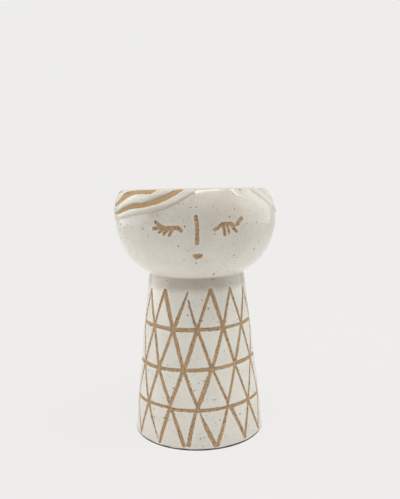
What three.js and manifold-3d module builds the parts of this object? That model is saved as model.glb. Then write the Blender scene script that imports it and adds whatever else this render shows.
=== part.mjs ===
// Head vase in glazed stoneware: a bowl-shaped head with raised hair on a tapered trunk.
// Millimetres, +Z up, the vase stands on z = 0 with its axis on Z and its face looks along -Y.
// Azimuths are in degrees round the axis: 0 at the face, positive towards +X.

import * as THREE from 'three';
import { mergeVertices, toCreasedNormals } from 'three/addons/utils/BufferGeometryUtils.js';
import Module from 'manifold-3d';

const wasm = await Module();
wasm.setup();

// Driving dimensions of the trunk
const TRUNK_HEIGHT = 127.5;
const FOOT_RADIUS = 51.4;
const NECK_RADIUS = 37.6;
const TRUNK_BOW_DEPTH = 0.4;
const TRUNK_WALL = 5.5;
const FOOT_ROUND = 1.2;

// Driving dimensions of the lattice cut into the trunk: rings and slanted strokes that cross on them
const LATTICE_REPEATS = 14;
const LATTICE_ROWS = 4;
const LATTICE_ABOVE_FOOT = 3.5;
const LATTICE_BELOW_NECK = 11;
const SLANT_WIDTH = 2.6;
const RING_WIDTH = 2.8;
const LINE_DEPTH = 0.6;

// Driving dimensions of the floor, a disc that lies on a ledge inside the foot
const LEDGE_HEIGHT = 2.5;
const LEDGE_WIDTH = 3;
const FLOOR_THICKNESS = 5;

// Driving dimensions of the head, whose rim stands CROWN_HEIGHT above its widest line
const HEAD_HEIGHT = 65;
const CROWN_HEIGHT = 19.5;
const HEAD_RADIUS = 62.7;
const RIM_RADIUS = 55.6;
const HEAD_WALL = 5.5;
const CHEEK_POWER = 2.25;

// Driving dimensions of the face, drawn in lines of the same depth. Drops are from the rim.
const EYE_WIDTH = 18.5;
const EYE_AZIMUTH = 18.5;
const EYE_DROP = 27;
const LID_LINE = 2.4;
const LASH_LINE = 1.6;
const NOSE_LENGTH = 19.6;
const NOSE_LINE = 2.7;
const NOSE_DROP = 28.1;
const MOUTH_WIDTH = 6.4;
const MOUTH_DROP = 47;

// Driving dimensions of the hair, strips of clay laid on the head
const HAIR_HEIGHT = 30;
const LOCK_RELIEF = 1.2;
const SOFT_LOCK_RELIEF = 0.8;
const LOCK_TRIM = 0.6;
const SLIP_GAP = 0.35;

// Faces round each form
const TRUNK_SIDES = 42;
const HEAD_SIDES = 64;

const CLAY_FIT = 0.3;
const CUT_CLEARANCE = 0.6;
const MERGE_DISTANCE = 1e-4;
const CREASE = THREE.MathUtils.degToRad(25);

const totalHeight = TRUNK_HEIGHT + HEAD_HEIGHT;
const widestHeight = totalHeight - CROWN_HEIGHT;
const neckRatio = NECK_RADIUS / HEAD_RADIUS;
const cheekDepth = (widestHeight - TRUNK_HEIGHT) / (1 - neckRatio ** CHEEK_POWER) ** (1 / CHEEK_POWER);
const crownDepth = CROWN_HEIGHT / Math.sqrt(1 - (RIM_RADIUS / HEAD_RADIUS) ** 2);
const throatRadius = NECK_RADIUS - TRUNK_WALL;
const latticeHeight = TRUNK_HEIGHT - LATTICE_BELOW_NECK - LATTICE_ABOVE_FOOT;

const whiteGlaze = { color: 0xe1ded4, roughness: 0.18, metalness: 0 };
const hairGlaze = { color: 0xe6e3db, roughness: 0.18, metalness: 0 };
const innerGlaze = { color: 0xdedace, roughness: 0.3, metalness: 0 };

// Radius of the trunk's outside at a height: a straight taper that bows out a little
function trunkRadius(height) {
  const t = height / TRUNK_HEIGHT;
  return THREE.MathUtils.lerp(FOOT_RADIUS, NECK_RADIUS, t) + 4 * TRUNK_BOW_DEPTH * t * (1 - t);
}

function trunkBore(height) {
  return trunkRadius(height) - TRUNK_WALL;
}

// Radius of the head's wall at a height, on a skin that lies `inset` inside the outer one:
// a superellipse from the neck to the widest line and an ellipse from there to the rim
function headRadius(height, inset = 0) {
  const rise = height - widestHeight;
  const girth = HEAD_RADIUS - inset;
  if (rise < 0) {
    return girth * (1 - (-rise / (cheekDepth - inset)) ** CHEEK_POWER) ** (1 / CHEEK_POWER);
  }
  return girth * Math.sqrt(1 - (rise / (crownDepth - inset)) ** 2);
}

// Outward direction of the head's wall at a height, in the plane of radius and height
function headNormal(height) {
  const step = 0.01;
  const slope = (headRadius(height + step) - headRadius(height - step)) / (2 * step);
  return new THREE.Vector2(1, -slope).normalize();
}

// Points on a wall line from one height to another, closer together towards the start when ease > 1
function wallLine(radiusAt, from, to, steps, ease = 1) {
  const points = [];
  for (let i = 0; i <= steps; i++) {
    const height = from + (to - from) * (i / steps) ** ease;
    points.push(new THREE.Vector2(radiusAt(height), height));
  }
  return points;
}

// Points on an arc about a centre, in degrees from the outward radius
function arc(centre, radius, from, to, steps) {
  const points = [];
  for (let i = 0; i <= steps; i++) {
    const angle = THREE.MathUtils.degToRad(THREE.MathUtils.lerp(from, to, i / steps));
    points.push(new THREE.Vector2(Math.cos(angle), Math.sin(angle)).multiplyScalar(radius).add(centre));
  }
  return points;
}

// One closed body from loose triangles: shared corners joined, collapsed faces dropped, faces outwards
function closedBody(geometry) {
  const bare = new THREE.BufferGeometry();
  bare.setAttribute('position', geometry.getAttribute('position'));
  bare.setIndex(geometry.getIndex());
  const merged = mergeVertices(bare, MERGE_DISTANCE);
  const corner = merged.getAttribute('position');
  const [a, b, c] = [new THREE.Vector3(), new THREE.Vector3(), new THREE.Vector3()];
  const old = merged.getIndex().array;
  const kept = [];
  let volume = 0;
  for (let i = 0; i < old.length; i += 3) {
    const [p, q, r] = [old[i], old[i + 1], old[i + 2]];
    if (p === q || q === r || r === p) continue;
    kept.push([p, q, r]);
    a.fromBufferAttribute(corner, p);
    b.fromBufferAttribute(corner, q);
    c.fromBufferAttribute(corner, r);
    volume += a.dot(b.cross(c));
  }
  merged.setIndex(kept.flatMap(([p, q, r]) => (volume < 0 ? [p, r, q] : [p, q, r])));
  return merged;
}

function toSolid(geometry) {
  const vertProperties = new Float32Array(geometry.getAttribute('position').array);
  const triVerts = new Uint32Array(geometry.getIndex().array);
  return new wasm.Manifold(new wasm.Mesh({ numProp: 3, vertProperties, triVerts }));
}

function toGeometry(solid) {
  const { vertProperties, triVerts } = solid.getMesh();
  const geometry = new THREE.BufferGeometry();
  geometry.setAttribute('position', new THREE.BufferAttribute(vertProperties, 3));
  geometry.setIndex(new THREE.BufferAttribute(triVerts, 1));
  return geometry;
}

// A body with all the cutters taken out of it
function carve(body, cutters) {
  let solid = toSolid(body);
  for (const cutter of cutters) {
    solid = solid.subtract(toSolid(cutter));
  }
  return toGeometry(solid);
}

// A place on a surface of revolution: its point and outward normal
function surfaceFrame(radiusAt, azimuth, height) {
  const step = 0.01;
  const angle = THREE.MathUtils.degToRad(azimuth);
  const out = new THREE.Vector3(Math.sin(angle), -Math.cos(angle), 0);
  const slope = (radiusAt(height + step) - radiusAt(height - step)) / (2 * step);
  const point = out.clone().multiplyScalar(radiusAt(height)).setZ(height);
  const normal = out.clone().setZ(-slope).normalize();
  return { point, normal };
}

// A cutter for a drawn line: a V along points of azimuth and height on a surface of revolution.
// It stands proud of the surface by CUT_CLEARANCE, and its flanks keep their slope up to there.
function lineCutter(radiusAt, path, width, depth) {
  const frames = path.map(([azimuth, height]) => surfaceFrame(radiusAt, azimuth, height));
  const proud = (width / 2) * (1 + CUT_CLEARANCE / depth);
  const positions = frames.flatMap(({ point, normal }, i) => {
    const before = frames[Math.max(i - 1, 0)].point;
    const after = frames[Math.min(i + 1, frames.length - 1)].point;
    const across = after.clone().sub(before).cross(normal).normalize();
    const top = point.clone().addScaledVector(normal, CUT_CLEARANCE);
    return [
      top.clone().addScaledVector(across, -proud),
      point.clone().addScaledVector(normal, -depth),
      top.clone().addScaledVector(across, proud),
    ].flatMap((corner) => corner.toArray());
  });
  const geometry = new THREE.BufferGeometry();
  geometry.setAttribute('position', new THREE.Float32BufferAttribute(positions, 3));
  geometry.setIndex(loftFaces(frames.length - 1, 3));
  return closedBody(geometry);
}

// A profile of radius and height turned round Z, starting at the face
function revolve(profile, sides) {
  return closedBody(new THREE.LatheGeometry(profile, sides).rotateX(Math.PI / 2));
}

// A named sub-part, shaded smooth except over edges sharper than CREASE
function subpart(name, geometry, finish) {
  const mesh = new THREE.Mesh(toCreasedNormals(geometry, CREASE), new THREE.MeshStandardMaterial(finish));
  mesh.name = name;
  return mesh;
}

// The trunk: tapered tube on a foot ring, with a ledge inside the foot for the floor
function makeTrunk() {
  const ringBore = trunkBore(LEDGE_HEIGHT) - LEDGE_WIDTH;
  const footCentre = new THREE.Vector2(trunkRadius(FOOT_ROUND) - FOOT_ROUND, FOOT_ROUND);
  const profile = [
    new THREE.Vector2(ringBore, 0),
    ...arc(footCentre, FOOT_ROUND, -90, 0, 3),
    ...[...ringHeights(), TRUNK_HEIGHT].map((height) => new THREE.Vector2(trunkRadius(height), height)),
    ...wallLine(trunkBore, TRUNK_HEIGHT, LEDGE_HEIGHT, 4),
    new THREE.Vector2(ringBore, LEDGE_HEIGHT),
    new THREE.Vector2(ringBore, 0),
  ];
  return subpart('trunk', carve(revolve(profile, TRUNK_SIDES), latticeCutters()), whiteGlaze);
}

// Heights of the lattice's rings, which part its rows
function ringHeights() {
  const heights = [];
  for (let row = 1; row < LATTICE_ROWS; row++) {
    heights.push(LATTICE_ABOVE_FOOT + (row / LATTICE_ROWS) * latticeHeight);
  }
  return heights;
}

// The lattice: rings, and strokes that climb half a repeat per row to either side
function latticeCutters() {
  const pitch = 360 / LATTICE_REPEATS;
  const cutters = ringHeights().map(ringCutter);
  for (let k = 0; k < LATTICE_REPEATS; k++) {
    for (const lean of [-1, 1]) {
      const foot = (k + 0.5) * pitch;
      const top = foot + (lean * LATTICE_ROWS * pitch) / 2;
      cutters.push(lineCutter(trunkRadius, slantPath(foot, top), SLANT_WIDTH, LINE_DEPTH));
    }
  }
  return cutters;
}

// A stroke from the lattice's foot to its top, with a point on each upright edge that it crosses
function slantPath(foot, top) {
  const facet = 360 / TRUNK_SIDES;
  const low = Math.min(foot, top);
  const azimuths = [foot, top];
  for (let edge = Math.floor(low / facet + 1) * facet; edge < Math.max(foot, top); edge += facet) {
    azimuths.push(edge);
  }
  azimuths.sort((a, b) => a - b);
  return azimuths.map((azimuth) => [
    azimuth,
    LATTICE_ABOVE_FOOT + (latticeHeight * (azimuth - foot)) / (top - foot),
  ]);
}

// A cutter for a ring drawn round the trunk: a V turned round Z
function ringCutter(height) {
  const proud = (RING_WIDTH / 2) * (1 + CUT_CLEARANCE / LINE_DEPTH);
  const outside = trunkRadius(height) + CUT_CLEARANCE;
  return revolve([
    new THREE.Vector2(trunkRadius(height) - LINE_DEPTH, height),
    new THREE.Vector2(outside, height + proud),
    new THREE.Vector2(outside, height - proud),
    new THREE.Vector2(trunkRadius(height) - LINE_DEPTH, height),
  ], TRUNK_SIDES);
}

// The floor: a disc with the trunk's taper that lies on the ledge
function makeFloor() {
  const top = LEDGE_HEIGHT + FLOOR_THICKNESS;
  const profile = [
    new THREE.Vector2(0, LEDGE_HEIGHT),
    new THREE.Vector2(trunkBore(LEDGE_HEIGHT) - CLAY_FIT, LEDGE_HEIGHT),
    new THREE.Vector2(trunkBore(top) - CLAY_FIT, top),
    new THREE.Vector2(0, top),
  ];
  return subpart('floor_disc', revolve(profile, TRUNK_SIDES), innerGlaze);
}

// The head: a bowl on the trunk's top edge, open below through its throat, with a full round lip
function makeHead() {
  const lipRadius = HEAD_WALL / 2;
  const outward = headNormal(totalHeight);
  const wallEnd = totalHeight - lipRadius * (1 - outward.y);
  const lipCentre = new THREE.Vector2(headRadius(wallEnd), wallEnd).addScaledVector(outward, -lipRadius);
  const lipStart = THREE.MathUtils.radToDeg(outward.angle());
  const innerEnd = lipCentre.y - lipRadius * outward.y;
  const innerRadius = (height) => headRadius(height, HEAD_WALL);
  const throatRatio = throatRadius / (HEAD_RADIUS - HEAD_WALL);
  const throatDrop = (cheekDepth - HEAD_WALL) * (1 - throatRatio ** CHEEK_POWER) ** (1 / CHEEK_POWER);
  const profile = [
    ...wallLine(headRadius, TRUNK_HEIGHT, widestHeight, 9, 1.3),
    ...wallLine(headRadius, widestHeight, wallEnd, 4).slice(1),
    ...arc(lipCentre, lipRadius, lipStart, 90, 2).slice(1),
    ...arc(lipCentre, lipRadius, 90, lipStart + 180, 3).slice(1, -1),
    ...wallLine(innerRadius, innerEnd, widestHeight, 3),
    ...wallLine(innerRadius, widestHeight, widestHeight - throatDrop, 6).slice(1),
    new THREE.Vector2(throatRadius, TRUNK_HEIGHT),
    new THREE.Vector2(NECK_RADIUS, TRUNK_HEIGHT),
  ];
  return subpart('head_bowl', carve(revolve(profile, HEAD_SIDES), faceCutters()), whiteGlaze);
}

// The face's lines as x to the viewer's right and y up, in shares of the eye's width
const leftLid = [
  [-0.51, 0.25], [-0.33, 0.11], [-0.19, 0.02], [0.02, 0.03], [0.24, 0.03], [0.37, 0.02], [0.49, -0.08],
];
const leftLashes = [
  [[-0.3, 0.02], [-0.62, -0.01]],
  [[-0.17, 0], [-0.38, -0.15]],
  [[-0.01, -0.02], [-0.2, -0.22]],
  [[0.17, -0.02], [0.02, -0.26]],
];
const rightLid = [[-0.43, -0.07], [-0.27, 0.04], [-0.15, 0.14], [0.03, 0.16], [0.2, 0.14], [0.31, 0.09]];
const rightLashes = [
  [[-0.11, 0.09], [-0.02, -0.27]],
  [[0.06, 0.05], [0.15, -0.2]],
  [[0.2, 0.05], [0.46, -0.18]],
  [[0.42, 0.05], [0.67, 0.3]],
];
// The mouth's outline, in shares of its width
const mouthOutline = [[-0.5, 0.1], [-0.34, 0.26], [0.34, 0.26], [0.5, 0.1], [0.28, -0.32], [-0.28, -0.32]];

// Points of azimuth and height for a shape drawn on the head about a place of its own
function drawnAt(azimuth, drop, size, points) {
  const height = totalHeight - drop;
  const degree = THREE.MathUtils.degToRad(headRadius(height));
  return points.map(([x, y]) => [azimuth + (x * size) / degree, height + y * size]);
}

function faceCutters() {
  const lines = [
    [drawnAt(0, NOSE_DROP, NOSE_LENGTH, [[-0.02, 0.5], [0.01, 0], [0, -0.5]]), NOSE_LINE],
    [drawnAt(-EYE_AZIMUTH, EYE_DROP, EYE_WIDTH, leftLid), LID_LINE],
    [drawnAt(EYE_AZIMUTH, EYE_DROP, EYE_WIDTH, rightLid), LID_LINE],
    ...leftLashes.map((lash) => [drawnAt(-EYE_AZIMUTH, EYE_DROP, EYE_WIDTH, lash), LASH_LINE]),
    ...rightLashes.map((lash) => [drawnAt(EYE_AZIMUTH, EYE_DROP, EYE_WIDTH, lash), LASH_LINE]),
  ];
  const mouth = drawnAt(0, MOUTH_DROP, MOUTH_WIDTH, mouthOutline);
  return [
    ...lines.map(([path, width]) => lineCutter(headRadius, path, width, LINE_DEPTH)),
    patchCutter(mouth),
  ];
}

// A cutter for a sunk patch of the head: its outline at the line depth and proud of the surface
function patchCutter(outline) {
  const rings = [-LINE_DEPTH, CUT_CLEARANCE].map((lift) => outline.map(([azimuth, height]) => {
    const { point, normal } = surfaceFrame(headRadius, azimuth, height);
    return point.addScaledVector(normal, lift);
  }));
  const geometry = new THREE.BufferGeometry();
  geometry.setFromPoints(rings.flat());
  geometry.setIndex(loftFaces(1, outline.length));
  return closedBody(geometry);
}

// Cross-section of a lock, as share of the width from the lower edge and share of the relief.
// The last point is the middle of the side that lies on the head.
const lockSection = [[0, 0], [0.1, 0.62], [0.34, 1], [0.66, 1], [0.9, 0.62], [1, 0], [0.5, 0]];

// A lock of hair lofted between its lower and upper edge. Each edge is a smooth line through
// points of azimuth and drop below the rim. Both start level with the trimmed rim.
function makeLock(name, { lower, upper, relief = LOCK_RELIEF, steps = 24 }) {
  const edges = [lower, upper].map((points) =>
    new THREE.CatmullRomCurve3(points.map(([azimuth, drop]) => new THREE.Vector3(azimuth, drop, 0))));
  const positions = [];
  for (let i = 0; i <= steps; i++) {
    const [low, high] = edges.map((edge) => edge.getPointAt(i / steps));
    for (const [across, lift] of lockSection) {
      const spot = low.clone().lerp(high, across);
      const angle = THREE.MathUtils.degToRad(spot.x);
      const height = totalHeight - LOCK_TRIM - (HAIR_HEIGHT * spot.y) / 100;
      const radius = headRadius(height) + THREE.MathUtils.lerp(SLIP_GAP, relief, lift);
      positions.push(radius * Math.sin(angle), -radius * Math.cos(angle), height);
    }
  }
  const geometry = new THREE.BufferGeometry();
  geometry.setAttribute('position', new THREE.Float32BufferAttribute(positions, 3));
  geometry.setIndex(loftFaces(steps, lockSection.length));
  return subpart(name, closedBody(geometry), hairGlaze);
}

// Faces of a loft of closed rings, with a fan over each end
function loftFaces(steps, ring) {
  const faces = [];
  for (let i = 0; i < steps; i++) {
    for (let j = 0; j < ring; j++) {
      const next = (j + 1) % ring;
      const [a, b, c, d] = [i * ring + j, i * ring + next, (i + 1) * ring + j, (i + 1) * ring + next];
      faces.push(a, b, d, a, d, c);
    }
  }
  const hub = ring - 1;
  for (let j = 0; j < hub - 1; j++) {
    faces.push(hub, j + 1, j);
    faces.push(steps * ring + hub, steps * ring + j, steps * ring + j + 1);
  }
  return faces;
}

// Edges of the locks from the rim to the back of the head, as azimuth and drop below the trimmed
// rim in hundredths of the hair's height at the back
const locks = {
  left_hairline_lock: {
    lower: [[2, 0], [-7, 21], [-19, 40], [-38, 56], [-66, 72], [-110, 88], [-150, 100], [-187, 100]],
    upper: [[-7.5, 0], [-13.5, 15], [-24, 33], [-35, 41], [-47, 44], [-63, 55], [-100, 69], [-150, 83], [-187, 96]],
  },
  left_second_lock: {
    lower: [[-13.5, 0], [-19, 9], [-27, 18], [-36, 28], [-45, 30.5], [-53, 38], [-66, 50], [-82, 58], [-110, 66],
      [-150, 75], [-172, 74]],
    upper: [[-27.5, 0], [-32, 8], [-46, 9], [-54, 17], [-66, 33], [-80, 42], [-115, 51], [-150, 58], [-172, 69]],
  },
  left_third_lock: {
    lower: [[-49, 0], [-54, 3], [-60, 7], [-65, 15], [-70, 27], [-79, 36], [-100, 42], [-130, 46], [-160, 50],
      [-188, 50]],
    upper: [[-69, 0], [-74, 6], [-81, 12], [-92, 21], [-115, 29], [-140, 32], [-165, 35], [-188, 46]],
  },
  left_crown_lock: {
    lower: [[-71, 0], [-76, 4], [-84, 9], [-100, 17], [-130, 24], [-155, 26], [-173, 25]],
    upper: [[-86, 0], [-97, 2], [-110, 4], [-130, 6], [-150, 8], [-162, 10], [-173, 21]],
  },
  right_temple_lock: {
    lower: [[25.5, 0], [28, 13], [32.5, 23], [41, 33], [52, 44.5], [63, 56]],
    upper: [[41.5, 0], [45.5, 13.5], [50, 23], [57, 38.5], [64.5, 52]],
    relief: SOFT_LOCK_RELIEF,
    steps: 14,
  },
  right_hairline_lock: {
    lower: [[42.8, 0], [46.5, 10.5], [54, 27.5], [65.5, 49], [77, 62], [92, 73], [120, 88], [150, 99], [171, 99]],
    upper: [[53, 0], [57.5, 4.5], [67, 20.5], [74.5, 32.5], [90, 51], [120, 69], [145, 79], [160, 85], [171, 95]],
  },
  right_second_lock: {
    lower: [[54, 0], [58.5, 2], [67.5, 17.5], [75, 29.5], [84, 41], [95, 50], [120, 62], [150, 74], [186, 74]],
    upper: [[80, 0], [86, 9], [95, 21], [108, 33], [128, 45], [155, 56], [186, 69]],
  },
  right_third_lock: {
    lower: [[82, 0], [88, 8], [97, 19], [112, 32], [135, 42], [155, 49], [170, 48]],
    upper: [[97, 0], [103, 6], [112, 13], [125, 21], [142, 28], [158, 35], [170, 44]],
  },
  right_crown_lock: {
    lower: [[100, 0], [107, 5], [117, 11], [133, 18], [150, 24], [170, 26], [185, 24]],
    upper: [[118, 0], [126, 2], [135, 4], [147, 6], [160, 8], [174, 12], [185, 20]],
  },
};

const vase = new THREE.Group();
vase.add(makeTrunk());
vase.add(makeFloor());
vase.add(makeHead());
for (const [name, lock] of Object.entries(locks)) {
  vase.add(makeLock(name, lock));
}

export default vase;
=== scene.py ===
"""Glazed stoneware head vase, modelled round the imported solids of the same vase.

The vase is a tapered trunk with a lattice drawn through the wax, a bowl-shaped head with a drawn
face, and locks of hair laid on it. Meshes are in metres. Sizes and tables here are in millimetres,
azimuths in degrees round the axis: 0 at the face, positive towards +X.
"""

import functools
import math
import random

import bmesh
import bpy
import numpy as np
from bpy.props import FloatProperty, FloatVectorProperty, PointerProperty
from mathutils import Matrix, Vector


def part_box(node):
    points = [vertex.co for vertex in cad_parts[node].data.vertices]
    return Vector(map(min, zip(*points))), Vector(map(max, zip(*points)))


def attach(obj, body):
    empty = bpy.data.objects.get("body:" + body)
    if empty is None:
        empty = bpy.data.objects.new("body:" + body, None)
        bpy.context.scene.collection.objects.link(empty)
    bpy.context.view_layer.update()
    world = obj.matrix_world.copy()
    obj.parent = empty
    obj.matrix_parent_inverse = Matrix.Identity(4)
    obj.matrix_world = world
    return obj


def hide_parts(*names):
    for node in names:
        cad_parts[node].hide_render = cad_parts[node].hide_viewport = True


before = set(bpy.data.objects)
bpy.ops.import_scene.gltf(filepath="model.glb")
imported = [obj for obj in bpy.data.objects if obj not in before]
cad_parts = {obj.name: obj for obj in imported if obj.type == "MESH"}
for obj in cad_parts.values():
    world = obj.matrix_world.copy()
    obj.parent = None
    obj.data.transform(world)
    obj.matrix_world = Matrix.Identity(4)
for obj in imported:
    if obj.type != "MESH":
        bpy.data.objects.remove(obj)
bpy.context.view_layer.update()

bl_info = {
    "name": "Stoneware head vase",
    "version": (1, 0, 0),
    "blender": (4, 5, 0),
    "location": "View3D > Sidebar > Head Vase",
    "description": "Glazed stoneware vase with a drawn lattice, a drawn face and raised hair",
    "category": "Add Mesh",
}

MM = 0.001
BODY = "root"
# In metres: vertices this close together are merged, a vertex this close to a point is at it, and
# a block of a new outline is picked from this far before it to this far past it
SAME_PLACE = 0.01 * MM
AT_POINT = 1e-7
BLOCK_SLACK = 0.01
# Most cuts that one subdivision makes, and number of depths that a surface is pressed in by
MOST_CUTS = 90
PRESS_LEVELS = 64
# Heights at which an outline's length is measured: all of the head's, and one wall's
OUTLINE_ROWS, WALL_ROWS = 400, 200
# Power of the superellipse that the cheeks follow
CHEEK_POWER = 2.25
# How far the filled corner under the head reaches up and down, in millimetres
SEAM_REACH = 1.8


def linear(hex_colour):
    """A written sRGB colour as the linear values that shaders take, opaque"""
    channels = []
    for start in (1, 3, 5):
        value = int(hex_colour[start:start + 2], 16) / 255
        channels.append(value / 12.92 if value <= 0.04045 else ((value + 0.055) / 1.055) ** 2.4)
    return (*channels, 1.0)


# Sizes and colours that a user may change


def number(name, description, value, **settings):
    return FloatProperty(name=name, description=description, default=value, min=0.0, **settings)


def length(name, description, millimetres):
    return number(name, description, millimetres * MM, unit="LENGTH", subtype="DISTANCE", precision=4)


def colour(name, description, hex_colour):
    return FloatVectorProperty(name=name, description=description, default=linear(hex_colour),
                               min=0.0, max=1.0, size=4, subtype="COLOR")


def power(name, description, watts):
    return number(name, description, watts, unit="POWER")


class HeadVaseSizes(bpy.types.PropertyGroup):
    """Sizes of the vase's forms"""

    height: length("Height", "Foot to rim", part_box("head_bowl")[1].z / MM)
    trunk_height: length("Trunk height", "Foot to the underside of the head", 127.5)
    foot_radius: length("Foot radius", "Radius of the trunk at the table", 51.4)
    neck_radius: length("Neck radius", "Radius of the trunk under the head", 37.6)
    trunk_bow: length("Trunk bow", "How far the taper bows out halfway up", 0.4)
    wall: length("Wall", "Thickness of the clay", 5.5)
    foot_round: length("Foot round", "Rounding of the foot's outer edge", 1.2)
    seam_depth: length("Seam depth", "How far slip and glaze fill the corner under the head", 0.5)
    ledge_height: length("Ledge height", "Underside of the floor above the table", 2.5)
    ledge_width: length("Ledge width", "Width of the ledge inside the foot", 3.0)
    floor_thickness: length("Floor thickness", "Thickness of the floor inside the foot", 5.0)
    head_radius: length("Head radius", "Radius of the head at its widest line", 63.1)
    rim_radius: length("Rim radius", "Radius of the head at the rim", 56.2)
    rim_lean: length("Rim lean", "How far the hand-built rim stands off to the viewer's left", 1.4)
    crown_height: length("Crown height", "Widest line of the head to the rim", 19.5)
    line_depth: length("Line depth", "Depth of the drawn lines under the glaze", 0.5)
    hair_height: length("Hair height", "Rim to the lowest hair at the back of the head", 30.0)
    lock_relief: length("Lock relief", "How far the locks of hair stand off the head", 1.2)
    soft_relief: length("Soft lock relief", "Relief of the lock smeared over the temple", 0.8)


class HeadVaseFinish(bpy.types.PropertyGroup):
    """Colours of the glaze and the bare clay"""

    glaze: colour("Glaze", "White glaze where it lies thick", "#E1DED4")
    # Its colour is also laid on as painted shade: the head's shadow on the trunk and the upper face
    thin_glaze_and_shade: colour("Thin glaze", "White glaze where it lies thin over the clay", "#BBB4A6")
    # Its white is also a painted highlight: under the head, on the soft lock and beside the lines
    pooled_glaze_and_highlight: colour("Pooled glaze", "Glaze that pooled or rolled up beside a line", "#EFEBE0")
    inner_glaze: colour("Inner glaze", "Glaze inside the vase", "#D4CEC0")
    speck: colour("Speck", "Iron grain that burnt through the glaze", "#4E4234")
    clay: colour("Clay", "Bare fired clay in the drawn lines", "#C4A57F")
    dark_clay: colour("Dark clay", "Darker grain of the drawn lines", "#957855")
    channel_clay: colour("Channel clay", "Bare fired clay between the locks", "#AE8F67")
    lip_clay: colour("Lip clay", "Clay that shows through where the glaze thins on the lip", "#C4B191")
    # Its dark colour is partly painted shade where the foot meets the table
    foot_clay_and_shade: colour("Burnt clay", "Bare clay of the foot, darkened in firing", "#41362D")


class HeadVaseStage(bpy.types.PropertyGroup):
    """Floor, backdrop and lamps"""

    backdrop: colour("Backdrop", "Colour of floor and backdrop", "#EEEDEC")
    left_power: power("Left lamp", "Power of the soft box beside the vase on the left", 7.5)
    right_power: power("Right lamp", "Power of the soft box beside the vase on the right", 4.4)
    front_power: power("Front lamp", "Power of the soft box high over the face", 5.2)
    ceiling_light: number("Ceiling", "Strength of the pale ceiling", 1.5)
    room_light: number("Room", "Strength of the rest of the room", 0.03)


# Forms of the vase, in millimetres


def lengths_along(x, y):
    """Length of a line through points, from its start to each of them"""
    return np.concatenate([[0], np.cumsum(np.hypot(np.diff(x), np.diff(y)))])


class Forms:
    """The vase's outlines, worked out from its sizes"""

    def __init__(self, sizes):
        for name in HeadVaseSizes.__annotations__:
            setattr(self, name, getattr(sizes, name) / MM)
        self.widest = self.height - self.crown_height
        share = self.neck_radius / self.head_radius
        self.cheek = (self.widest - self.trunk_height) / self.superellipse(share)
        self.crown = self.crown_height / math.sqrt(1 - (self.rim_radius / self.head_radius) ** 2)
        self.throat = self.neck_radius - self.wall
        self.lip = self.wall / 2
        outward = self.head_normal(self.height)
        self.wall_end = self.height - self.lip * (1 - outward[1])
        start = self.head(self.wall_end)
        self.lip_centre = (start - self.lip * outward[0], self.wall_end - self.lip * outward[1])
        self.lip_start = math.degrees(math.atan2(outward[1], outward[0]))
        self.rows = np.linspace(self.trunk_height, self.height, OUTLINE_ROWS)
        self.lengths = lengths_along(self.rows, [self.skin(row) for row in self.rows])

    def superellipse(self, share):
        return (1 - share ** CHEEK_POWER) ** (1 / CHEEK_POWER)

    def trunk(self, height):
        t = height / self.trunk_height
        taper = (self.neck_radius - self.foot_radius) * t
        return self.foot_radius + taper + 4 * self.trunk_bow * t * (1 - t)

    def seam(self, height):
        """The small cove that slip and glaze make in the corner between trunk and head"""
        return self.seam_depth * max(0, 1 - abs(height - self.trunk_height) / SEAM_REACH) ** 2

    def filled_trunk(self, height):
        return self.trunk(height) + self.seam(height)

    def filled_head(self, height):
        return self.head(height) + self.seam(height)

    def bore(self, height):
        return self.trunk(height) - self.wall

    def head(self, height, inset=0.0):
        """Radius of the head's wall on a skin that lies `inset` inside the outer one"""
        rise = height - self.widest
        girth = self.head_radius - inset
        if rise < 0:
            return girth * self.superellipse(-rise / (self.cheek - inset))
        return girth * math.sqrt(1 - (rise / (self.crown - inset)) ** 2)

    def head_normal(self, height):
        step = 0.01
        slope = (self.head(height + step) - self.head(height - step)) / (2 * step)
        size = math.hypot(1, slope)
        return 1 / size, -slope / size

    def skin(self, height):
        """Radius of the head's outside, which rounds over the lip at the top"""
        if height <= self.wall_end:
            return self.head(height)
        rise = min(height - self.lip_centre[1], self.lip)
        return self.lip_centre[0] + math.sqrt(self.lip ** 2 - rise ** 2)

    def along(self, height):
        """Length of the head's outline from the trunk up to a height"""
        return np.interp(height, self.rows, self.lengths)


def wall_line(radius_at, low, high, spacing):
    """Points down or up a wall, evenly spaced along it"""
    heights = np.linspace(low, high, WALL_ROWS)
    lengths = lengths_along(heights, [radius_at(height) for height in heights])
    stops = np.linspace(0, lengths[-1], max(2, round(lengths[-1] / spacing)) + 1)
    return [(radius_at(height), height) for height in np.interp(stops, lengths, heights)]


def arc(centre, radius, start, end, steps):
    """Points on an arc of an outline, in degrees from the outward direction"""
    angles = np.radians(np.linspace(start, end, steps + 1))
    return [(centre[0] + radius * math.cos(a), centre[1] + radius * math.sin(a)) for a in angles]


# Modelling steps


def enter(mode):
    bpy.ops.object.mode_set(mode=mode)


def start_clean():
    if bpy.context.object and bpy.context.object.mode != "OBJECT":
        enter("OBJECT")
    bpy.ops.object.select_all(action="DESELECT")


def pick(piece):
    """Makes a piece the only one selected, and the active one"""
    start_clean()
    piece.select_set(True)
    bpy.context.view_layer.objects.active = piece


def name_piece(name):
    piece = bpy.context.object
    piece.name = name
    piece.data.name = name
    return piece


def select_only(piece, chosen):
    """Selects the vertices of a mesh in edit mode that pass a test"""
    mesh = bmesh.from_edit_mesh(piece.data)
    for part in (*mesh.faces, *mesh.edges):
        part.select = False
    for vertex in mesh.verts:
        vertex.select = chosen(vertex)
    mesh.select_flush(True)
    bmesh.update_edit_mesh(piece.data)


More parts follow.
